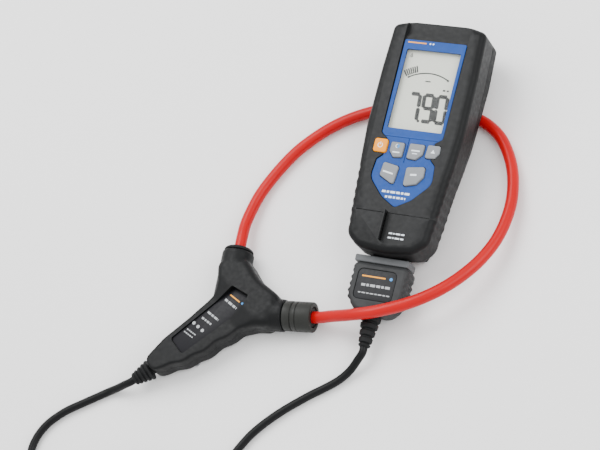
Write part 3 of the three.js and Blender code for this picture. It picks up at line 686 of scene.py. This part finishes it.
front = slab("meter_front_case", case_waved, CASE_SPLIT, 0, 0, 4.5, 7)
hollow = slab("hollow", [(x, min(y, 148.5)) for x, y in grown(case_outline, -2.6)], -21, -5.2)
end_notch = [(151.6, -2.2), (155.2, -4.2), (172, -4.2), (172, 5), (151.6, 5)]
wedge = rings("wedge", [[(x, y, z) for y, z in end_notch] for x in (-22.9, 22.9)])
cutters = [hollow, slab("channel", grown(channel, 0.35), -2.2, 5), wedge,
           slab("opening", rectangle(0.2, 114.3, 40.2, 58.6, 1), -12, 5),
           block("groove", -3.95, -3.25, 7.5, 27.8, -0.45, 5),
           block("mouth", -13.3, 8.1, -5, 5.9, -22, -16)]
for key in BUTTONS:
    cutters.append(slab("hole", button_outline(key, 0.45), -12, 5))
cut(front, cutters)
soften(front, 0.35, 2, 38)
settle(front, METER, CASE, BODY, ["meter_front_shell"], weighted=True)

rear = slab("meter_rear_case", case_waved, CASE_BACK, CASE_SPLIT - 0.35, 4.8, 0.5, 7)
cut(rear, [slab("hollow", grown(case_outline, -3.6), -30.6, -18),
           slab("cover_seat", rectangle(0, 49, 36.6, 62.6, 3.3), -40, -31.2),
           block("cells", -13, 13, 28, 77, -40, -28),
           block("mouth", -13.3, 8.1, -5, 5.9, -22, -16),
           *[upright("screw_well", x, y, 3, -40, -30.2) for x, y in ((-26, 151), (26, 151),
                                                                     (-20.5, 12.5), (20.5, 12.5))]])
# The rear case draws in towards its lower corners.
for vertex in rear.data.vertices:
    share = min(1, max(0, (-20.4 - vertex.co.z) / 8))
    outer = min(1, max(0, (abs(vertex.co.x) - 20) / 6))
    vertex.co.x -= math.copysign(5.5 * share * outer * max(0, 1 - vertex.co.y / 130), vertex.co.x)
    vertex.co.y += 4 * share * max(0, 1 - vertex.co.y / 9)
settle(rear, METER, CASE_REAR, BODY, ["meter_rear_shell"], weighted=True)

cover = slab("battery_cover_panel", rectangle(0, 49, 36, 62, 3), CASE_BACK, CASE_BACK + 1.5, 0.5, 0, 3)
cutters = [upright("well", 0, 23, 2.9, -40, -32), upright("bore", 0, 23, 1.6, -40, -30)]
for k in range(6):
    cutters.append(block("grip", -9, 9, 68 + 1.8 * k, 68.8 + 1.8 * k, -40, -32.6))
cut(cover, cutters)
settle(cover, METER, CASE_REAR, BODY, ["battery_cover"])

plate = slab("face_panel", plate_outline, -1.9, -0.8, 0, 0.3, 3)
cutters = [slab("opening", rectangle(0.2, 114.3, 38.6, 57, 0.8), -5, 5),
           block("groove", -1.55, -1.05, 62.6, 79.6, -1.25, 5),
           block("step", -19.4, 19.8, 79.6, 80.1, -1.2, 5)]
for key in BUTTONS:
    cutters.append(slab("hole", button_outline(key, 0.45), -12, 5))
cut(plate, cutters)
soften(plate, 0.18, 2, 38)
settle(plate, METER, PANEL, BODY, ["faceplate"], weighted=True)

lens = slab("window_lens", rectangle(0.2, 114.3, 39.2, 57.6, 0.8), -3.9, -2.3, 0, 0.25, 2)
settle(lens, METER, WINDOW, BODY, ["display_window"])
glass = slab("display_panel", rectangle(0.2, 114.3, 43, 61, 0.5), -7.2, -4.4)
settle(glass, METER, LCD, BODY, ["display_glass"])


# ---- display reading -------------------------------------------------------

SEGMENTS = {"7": "abc", "9": "abcdfg", "0": "abcdef"}


def digit_segments(symbol, x, y, width, height, lean):
    """Seven-segment figure with pointed bars; lean moves its top sideways."""
    thick, gap = 2.7, 0.1
    half = height / 2

    def across(level, shift):
        y0 = y + level
        return [(x + gap + 0.2, y0), (x + gap + thick * 0.3, y0 + thick / 2),
                (x + width - gap - thick * 0.3, y0 + thick / 2),
                (x + width - gap - 0.2, y0), (x + width - gap - thick * 0.3, y0 - thick / 2),
                (x + gap + thick * 0.3, y0 - thick / 2)]

    def along(side, low, high):
        x0 = x + side
        return [(x0, low + gap), (x0 + thick / 2, low + gap + thick * 0.3),
                (x0 + thick / 2, high - gap - thick * 0.3),
                (x0, high - gap), (x0 - thick / 2, high - gap - thick * 0.3),
                (x0 - thick / 2, low + gap + thick * 0.3)]

    shapes = {
        "a": across(height, 0), "g": across(half, 0), "d": across(0, 0),
        "b": along(width, y + half, y + height), "c": along(width, y, y + half),
        "f": along(0, y + half, y + height), "e": along(0, y, y + half),
    }
    return [[(px + lean * (py - y) / height, py) for px,
             py in shapes[name]] for name in SEGMENTS[symbol]]


marks = []
marks += digit_segments("7", -8.4, 94.0, 6.8, 18.6, -1.4)
marks += digit_segments("9", 1.6, 94.0, 6.8, 18.6, -1.4)
marks += digit_segments("0", 11.1, 94.0, 6.8, 18.6, -1.4)
marks.append(disc(-0.2, 93.8, 0.95))
arc_centre, arc_radius = (-0.2, 100.6), 27.4


def on_arc(degrees, outwards=0.0):
    angle, distance = math.radians(degrees), arc_radius + outwards
    return (arc_centre[0] + distance * math.cos(angle), arc_centre[1] + distance * math.sin(angle))


for k in range(7):
    bearing = 123.5 - 2.6 * k
    marks.append(stroke(*on_arc(bearing, 1.2), *on_arc(bearing, 6.0), 0.95))
marks.append(ring_mark(*arc_centre, arc_radius, 0.85, 59.5, 121.5, 30))
marks += [disc(*on_arc(bearing), 0.75) for bearing in (59.5, 121.5)]
marks.append(ring_mark(-16.1, 139.2, 0.75, 0.45, 0, 360, 16))
marks.append(stroke(-16.1, 140.2, -16.1, 141.2, 0.5))
marks.append(stroke(-2.0, 122.2, 1.8, 122.2, 0.8))
marks.append(stroke(11.8, 117.0, 13.6, 117.0, 1.2))
marks.append(stroke(14.6, 117.0, 16.0, 117.0, 1.2))
display_marks = flat_marks("display_segments", marks, -4.45, -4.3)
settle(display_marks, METER, LCD_DARK, BODY, smooth=0)

# ---- buttons ---------------------------------------------------------------

for key in BUTTONS:
    crown = [(0.8, 0.92), (0.5, 1.0)]
    cap = slab(f"{key}_key_cap", button_outline(key), -6, 0.8, 0, 0.7, 4, crown)
    settle(cap, METER, KEY_ORANGE if key == "power" else KEY_GREY, f"button_{key}_key",
           [f"button_{key}"])


def legend(name, outlines, body, height=1.02, material=LEGEND):
    piece = flat_marks(name, outlines, height - 0.04, height + 0.03)
    settle(piece, METER, material, body, smooth=0)


legend("power_symbol", [ring_mark(-19.9, 72.3, 1.6, 0.5, 120, 420, 20),
                        stroke(-19.9, 72.6, -19.9, 74.6, 0.5)], "button_power_key")
legend("backlight_symbol", [ring_mark(-7.6, 73.0, 1.2, 0.45, 90, 270, 12),
                            stroke(-10.2, 68.6, -5.2, 68.6, 0.9)], "button_backlight_key")
legend("backlight_symbol_half", [[(-7.6 + 1.5 * math.cos(math.radians(a)),
                                   73.0 + 1.5 * math.sin(math.radians(a)))
                                  for a in range(-90, 91, 15)]], "button_backlight_key",
                                  material=INK_BLUE)
legend("record_symbol", [stroke(2.6, 71.2, 8.6, 71.2, 1.0), stroke(3.6, 69.2, 7.2, 69.2, 0.6)],
       "button_record_key")
legend("arrow_symbol", [[(16.2, 70.9), (19.2, 70.9), (17.7, 73.4)]], "button_arrow_key")
legend("peak_symbol", [stroke(-13.4, 54.8, -6.0, 53.4, 1.1)], "button_peak_key")
legend("select_symbol", [stroke(6.0, 54.4, 10.4, 54.8, 1.3)], "button_select_key")

# ---- face marks ------------------------------------------------------------


def dashes(x0, x1, y, lengths, gap, height):
    """A row of short bars in place of a line of print."""
    result, x = [], x0
    i = 0
    while x < x1 - 0.2:
        end = min(x + lengths[i % len(lengths)], x1)
        result.append(stroke(x, y, end, y, height))
        x = end + gap
        i += 1
    return result


PANEL_INK, CASE_INK, ADAPTER_INK, HANDLE_INK = (-0.82, -0.76), (-0.02, 0.04), (-10.94, -10.84), (17.97,
        18.05)


def printed(name, outlines, span, place, ink, body=BODY):
    """Print as thin marks; span is their lower and upper height."""
    settle(flat_marks(name, outlines, *span), place, ink, body, smooth=0)


printed("panel_accent_bar", [stroke(-19.6, 147.6, -6.4, 147.6, 0.9)], PANEL_INK, METER, INK_ORANGE)
printed("panel_accent_dots", [disc(-3.6, 147.6, 0.6), disc(-1.4, 147.6, 0.6)], PANEL_INK, METER, LEGEND)
printed("panel_print", dashes(-11.2, 8.8, 41.5, [2.6, 1.7, 3.4], 0.8, 1.5)
        + dashes(-8.2, 6.2, 38.0, [1.6, 2.4], 0.8, 1.4), PANEL_INK, METER, LEGEND)
printed("case_print", [bar for y in (13.4, 10.4) for bar in dashes(1.2, 12.1, y, [2.4, 1.0, 3.2], 0.7,
                                                                   1.0)],
        CASE_INK, METER, LEGEND)

# ---- adapter ---------------------------------------------------------------

AX = -2.6
ADAPTER_HALF = [(19.9, -4.9, 4.3), (20.2, -29, 9), (11, -39, 8)]
adapter_inner = rounded([(x + AX, y, r) for x, y, r in mirrored(ADAPTER_HALF)], 10)
adapter_outline = dense(adapter_inner, 0.5)


def adapter_case(name, profile):
    """Case half from (inset, height) rings with finger scallops pressed into both sides."""
    layers = []
    for inset, height in profile:
        strength = 1.3 * max(0, 1 - inset / 2.4)
        ring = []
        for x, y in grown(adapter_outline, -inset) if inset else adapter_outline:
            if strength and -34 < y < -9:
                fade = min(1, (-9 - y) / 2, (y + 34) / 3)
                wave = 0.5 + 0.5 * math.cos(2 * math.pi * (y + 13.5) / 4.6)
                x -= math.copysign(strength * fade * wave, x - AX)
            ring.append((x, y, height))
        layers.append(ring)
    return rings(name, layers)


def rim(edge, height, towards):
    """Quarter-round (inset, height) rings from the side wall to the flat."""
    return [(edge * (1 - math.cos(a)), height - towards * edge * (1 - math.sin(a)))
            for a in (math.pi / 2 * k / 7 for k in range(8))]


adapter_front = adapter_case("adapter_front_case", [(0, -20), *rim(3.6, ADAPTER_FRONT, 1)])
label_outline = rectangle(AX - 1, -20.0, 27, 20.5, 3.4, 8)
cut(adapter_front, [slab("hollow", grown(adapter_inner, -3.4), -22, -14.5),
                    slab("label_seat", grown(label_outline, 0.35), -11.6, 0),
                    block("plug_way", AX - 10.3, AX + 10.3, -8, 2, -21.8, -16.2)])
soften(adapter_front, 0.25, 2, 40)
settle(adapter_front, METER, ADAPTER, "adapter", ["adapter_front_shell"], weighted=True)
adapter_rear = adapter_case("adapter_rear_case", [*reversed(rim(3.6, ADAPTER_BACK, -1)), (0, -20.3)])
cut(adapter_rear, [slab("hollow", grown(adapter_inner, -3.4), -24.6, -18),
                   block("plug_way", AX - 10.3, AX + 10.3, -8, 2, -21.8, -16.2),
                   *[upright("well", AX + s * 14.2, -11.5, 2.2, -40, -25.2) for s in (-1, 1)]])
settle(adapter_rear, METER, ADAPTER, "adapter", ["adapter_rear_shell"], weighted=True)
label = slab("adapter_label_panel", label_outline, -11.7, -10.9, 0, 0.25, 3)
settle(label, METER, ADAPTER_LABEL, "adapter", ["adapter_label"])
printed("adapter_accent_bar", [stroke(-14.1, -14.6, 2.5, -14.6, 0.95)], ADAPTER_INK, METER, INK_ORANGE,
        "adapter")
printed("adapter_accent_dot", [disc(6.4, -14.6, 1.1)], ADAPTER_INK, METER, INK_BLUE, "adapter")
printed("adapter_print", dashes(-13.2, 7.0, -20.6, [2.8, 1.8, 3.6], 0.8, 1.7)
        + dashes(-14.2, 8.0, -26.0, [1.8, 2.6], 0.7, 0.8), ADAPTER_INK, METER, LEGEND_DIM, "adapter")

neck = slab("adapter_neck_collar", rectangle(AX - 1, -2.6, 38, 4.6, 0.8, 6), -26, -11.4, 0.8, 0.8, 3)
cut(neck, [block("plug_way", AX - 10.3, AX + 10.3, -8, 4, -21.8, -16.2)])
settle(neck, METER, NECK, "adapter", ["adapter_neck"])


def relief(name, place, body, inside, wall, end, width, replaces):
    """Ribbed strain relief tapering along -y from the wall to its end."""
    ribs = 4
    pitch = (end - wall - 2.0) / ribs
    profile = [(0, inside), (4.9, inside), (4.9, inside + 1.8), (4.0, inside + 1.8), (4.0, wall + 0.5)]
    for k in range(ribs):
        low = wall + 0.5 + pitch * k
        radius = width - 0.7 * k
        profile += [(radius - 0.5, low), (radius, low + 0.5), (radius - 0.2, low + pitch * 0.74 - 0.5),
                    (radius - 0.7, low + pitch * 0.74), (radius - 1.5, low + pitch * 0.78),
                    (radius - 1.5, low + pitch * 0.97)]
    tip = width - 3.0
    profile += [(tip, end - 1.9), (tip + 0.3, end - 1.3), (tip, end - 0.5), (tip - 0.6, end), (0, end)]
    piece = lathe(name, [(r, -y) for r, y in profile], 48)
    settle(piece, place, RUBBER, body, replaces, smooth=40)


relief("adapter_relief_boot", METER @ Matrix.Translation((RELIEF_X, 0, RELIEF_Z)), "adapter", 34.2, 39,
       RELIEF_END, 6.8,
       ["adapter_strain_relief"])

# ---- handle ----------------------------------------------------------------

HANDLE_OUTLINE = [
    (0, 31.2, 30), (10.5, 33.6, 12), (20, 35.6, 6.6), (33.2, 17.7, 6.6), (24.2, 8.5, 10),
    (20.6, -1, 14), (17.6, -18, 40),
    (16.6, -30, 30), (12.4, -44, 30), (3.6, -63, 5.2), (-7.2, -63, 5.2), (-10.6, -44, 40),
    (-10.9, -20, 60),
    (-12.2, 0, 14), (-14.5, 4.5, 8), (-33.2, 17.7, 6.6), (-17.7, 33.2, 6.6),
]
handle_outline = []
for x, y in dense(rounded(HANDLE_OUTLINE, 10), 1.5):
    if x > 6 and -58 < y < 7:
        fade = min(1, (7 - y) / 4, (y + 58) / 5, (x - 6) / 3)
        x -= 1.1 * fade * (0.5 + 0.5 * math.cos(2 * math.pi * y / 17))
    handle_outline.append((x, y))


def on_arm(piece, arm):
    piece.data.transform(arm)
    return piece


body = slab("handle_body", handle_outline, 0, HANDLE_THICK, 5, 5, 7)
left_profile = [(0, 8), (ARM_RADIUS, 8), (ARM_RADIUS, 42.1), (ARM_RADIUS - 0.3, 42.8),
                (ARM_RADIUS - 1, 43), (0, 43)]
right_profile = [(0, 8), (ARM_RADIUS, 8), (ARM_RADIUS, 42.6), (ARM_RADIUS - 0.3, 43), (0, 43)]
cut(body, [on_arm(lathe("arm", left_profile, 64), TO_LEFT), on_arm(lathe("arm", right_profile, 64),
                                                                   TO_RIGHT)], "UNION")
step_profile = [(16, 22.6), (-1, GRIP_THICK), (-90, GRIP_THICK), (-90, 40), (16, 40)]
grip_step = rings("grip_step", [[(x, y, z) for y, z in step_profile] for x in (-60, 60)])
thumb_outline = rounded([(19.4, 12.5, 1.5), (23.4, 15, 1.5), (24.6, 28.4, 1.5), (20.8, 29.6, 1.5)], 5)
thumb_step = slab("thumb_step", thumb_outline, 19, 22.4, 0, 0.6, 3)
cut(body, [grip_step])
cut(body, [thumb_step], "UNION")
remesh = body.modifiers.new("remesh", "REMESH")
remesh.mode = "VOXEL"
remesh.voxel_size = 0.9
bake(body)
smoothing = body.modifiers.new("smooth", "SMOOTH")
smoothing.factor = 0.5
smoothing.iterations = 8
bake(body)
label_shape = rounded([(-6.4, -40, 2), (8, -40, 2), (9.6, -2, 1), (9, 13, 1), (6, 19, 1),
                       (-7, 14.4, 1)], 5)
cut(body, [slab("label_seat", grown(label_shape, 0.3), 17.4, 40),
           on_arm(lathe("bore", [(0, 14), (8.2, 14), (8.2, 60), (0, 60)], 48), TO_RIGHT),
           on_arm(lathe("bore", [(0, 14), (6.6, 14), (6.6, 60), (0, 60)], 48), TO_LEFT)])
top = body
bottom = body.copy()
bottom.data = body.data.copy()
bottom.name = "handle_bottom_case"
top.name = "handle_top_case"
SCENE.collection.objects.link(bottom)
cut(top, [block("below", -80, 80, -90, 80, -5, 11.25)])
cut(bottom, [block("above", -80, 80, -90, 80, 11.0, 40)])
settle(top, HANDLE, GRIP, BODY, ["handle_top_shell"], smooth=50)
settle(bottom, HANDLE, GRIP, BODY, ["handle_bottom_shell"], smooth=50)
label = slab("handle_label_panel", label_shape, 17.45, 18, 0, 0.2, 2)
settle(label, HANDLE, GRIP_LABEL, BODY, ["handle_label"])


def print_row(start, end, lengths, gap, height):
    """A slanted row of short bars in place of a line of print."""
    span = math.dist(start, end)
    ux, uy = (end[0] - start[0]) / span, (end[1] - start[1]) / span
    return [[(start[0] + ux * x - uy * y, start[1] + uy * x + ux * y) for x, y in bar]
            for bar in dashes(0, span, 0, lengths, gap, height)]


HANDLE_ROWS = [
    ((-4.4, 5.0), (6.5, 7.3), [2.4, 3.4], 0.8, 1.6), ((-5.2, -9.4), (4.9, -7.1), [3.0, 2.0], 0.7, 1.4),
    ((-4.6, -14.8), (4.6, -12.5), [2.0, 1.4], 0.7, 1.3), ((-5.0, -27.4), (3.0, -25.3), [1.4, 1.0], 0.5,
                                                          0.8),
    ((-4.9, -30.0), (3.2, -27.9), [1.0, 1.6], 0.5, 0.8),
]
handle_print = [bar for row in HANDLE_ROWS for bar in print_row(*row)]
handle_print += [disc(x, y, 1.2) for x, y in ((-5.2, -21.4), (-1, -20.6), (3.4, -19.8))]
printed("handle_print", handle_print, HANDLE_INK, HANDLE, LEGEND_DIM)
printed("handle_accent_bar", print_row((-4.6, 9.6), (4.2, 11.6), [20], 1, 0.9), HANDLE_INK, HANDLE,
        INK_ORANGE)
printed("handle_accent_dot", [disc(6.3, 12.4, 0.8)], HANDLE_INK, HANDLE, INK_BLUE)

grommet = lathe("coil_grommet_ring", [(4.1, 36), (6.2, 36), (6.2, 43.3), (9.7, 43.3), (10.2, 43.7),
                                      (10.1, 44.4), (9.6, 45.2),
                                      (8.6, 45.9), (7.2, 46.3), (5, 46.4), (4.1, 45.9)], 64)
settle(grommet, LEFT_ARM, RUBBER, BODY, ["coil_grommet"])
collar = lathe("lock_collar_ring", [
    (8.2, 43.4), (9.7, 43.4), (10.2, 43.9), (10.2, 48.6), (10.0, 48.9), (9.6, 49.0), (9.6, 49.6),
    (10.0, 49.7), (10.2, 50.0),
    (10.2, 52.4), (10.0, 52.6), (9.8, 52.7), (9.8, 53.1), (10.0, 53.2), (10.2, 53.4), (10.2, 62.5),
    (9.9, 63.1), (9.3, 63.3),
    (7.5, 63.3), (7.0, 62.8), (7.0, 57), (8.2, 56.6)], 72)
settle(collar, RIGHT_ARM, COLLAR, "collar", ["lock_collar"])
relief("handle_relief_boot", GRIP_END, BODY, 55, 63.6, 77.5, 7.2, ["handle_strain_relief"])

# ---- carried-over pieces ---------------------------------------------------

FINISHES = {
    "main_board": BOARD, "handle_board": BOARD, "adapter_board": BOARD, "processor": PART_BLACK,
    "buzzer": PART_BLACK,
    "battery_1": CELL, "battery_2": CELL, "battery_flat_contact": STEEL,
    "battery_spring_contact": STEEL,
    "display_frame": WHITE, "display_connector": PINK, "keypad_mat": MAT_GREY,
    "bottom_socket": PART_BLACK,
    "adapter_plug": PART_BLACK, "coil_socket": PART_BLACK, "coil_plug": RUBBER,
}
for name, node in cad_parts.items():
    material = FINISHES.get(name, STEEL if "screw" in name else None)
    if material is None:
        continue
    for i in range(max(1, len(node.material_slots))):
        if not node.material_slots:
            node.data.materials.append(material)
        node.material_slots[i].link = "OBJECT"
        node.material_slots[i].material = material

# ---- floor and light -------------------------------------------------------

FLOOR = surface("pale_floor", (0.93, 0.93, 0.93), rough=0.6, grain=1.5, depth=0.01, vary=0.01,
                patch=400)
floor = new_object("studio_floor", [(-3, -3, -0.0004), (3, -3, -0.0004), (3, 3, -0.0004),
                                    (-3, 3, -0.0004)], [(0, 1, 2, 3)])
floor.data.materials.append(FLOOR)

world = bpy.data.worlds.new("studio")
world.use_nodes = True
world.node_tree.nodes["Background"].inputs["Color"].default_value = (1, 1, 1, 1)
world.node_tree.nodes["Background"].inputs["Strength"].default_value = 1.3
SCENE.world = world


def area_light(name, position, target, size, power):
    data = bpy.data.lights.new(name, "AREA")
    data.shape = "RECTANGLE"
    data.size, data.size_y = size
    data.energy = power
    light = bpy.data.objects.new(name, data)
    direction = Vector(target) - Vector(position)
    light.matrix_world = Matrix.Translation(position) @ direction.to_track_quat("-Z",
            "Y").to_matrix().to_4x4()
    SCENE.collection.objects.link(light)


area_light("key_softbox", (-0.5, 0.5, 1.1), (0.05, 0.05, 0), (0.9, 0.9), 19)
area_light("fill_softbox", (0.9, 0.2, 0.8), (0.08, 0.05, 0), (0.7, 0.7), 8)
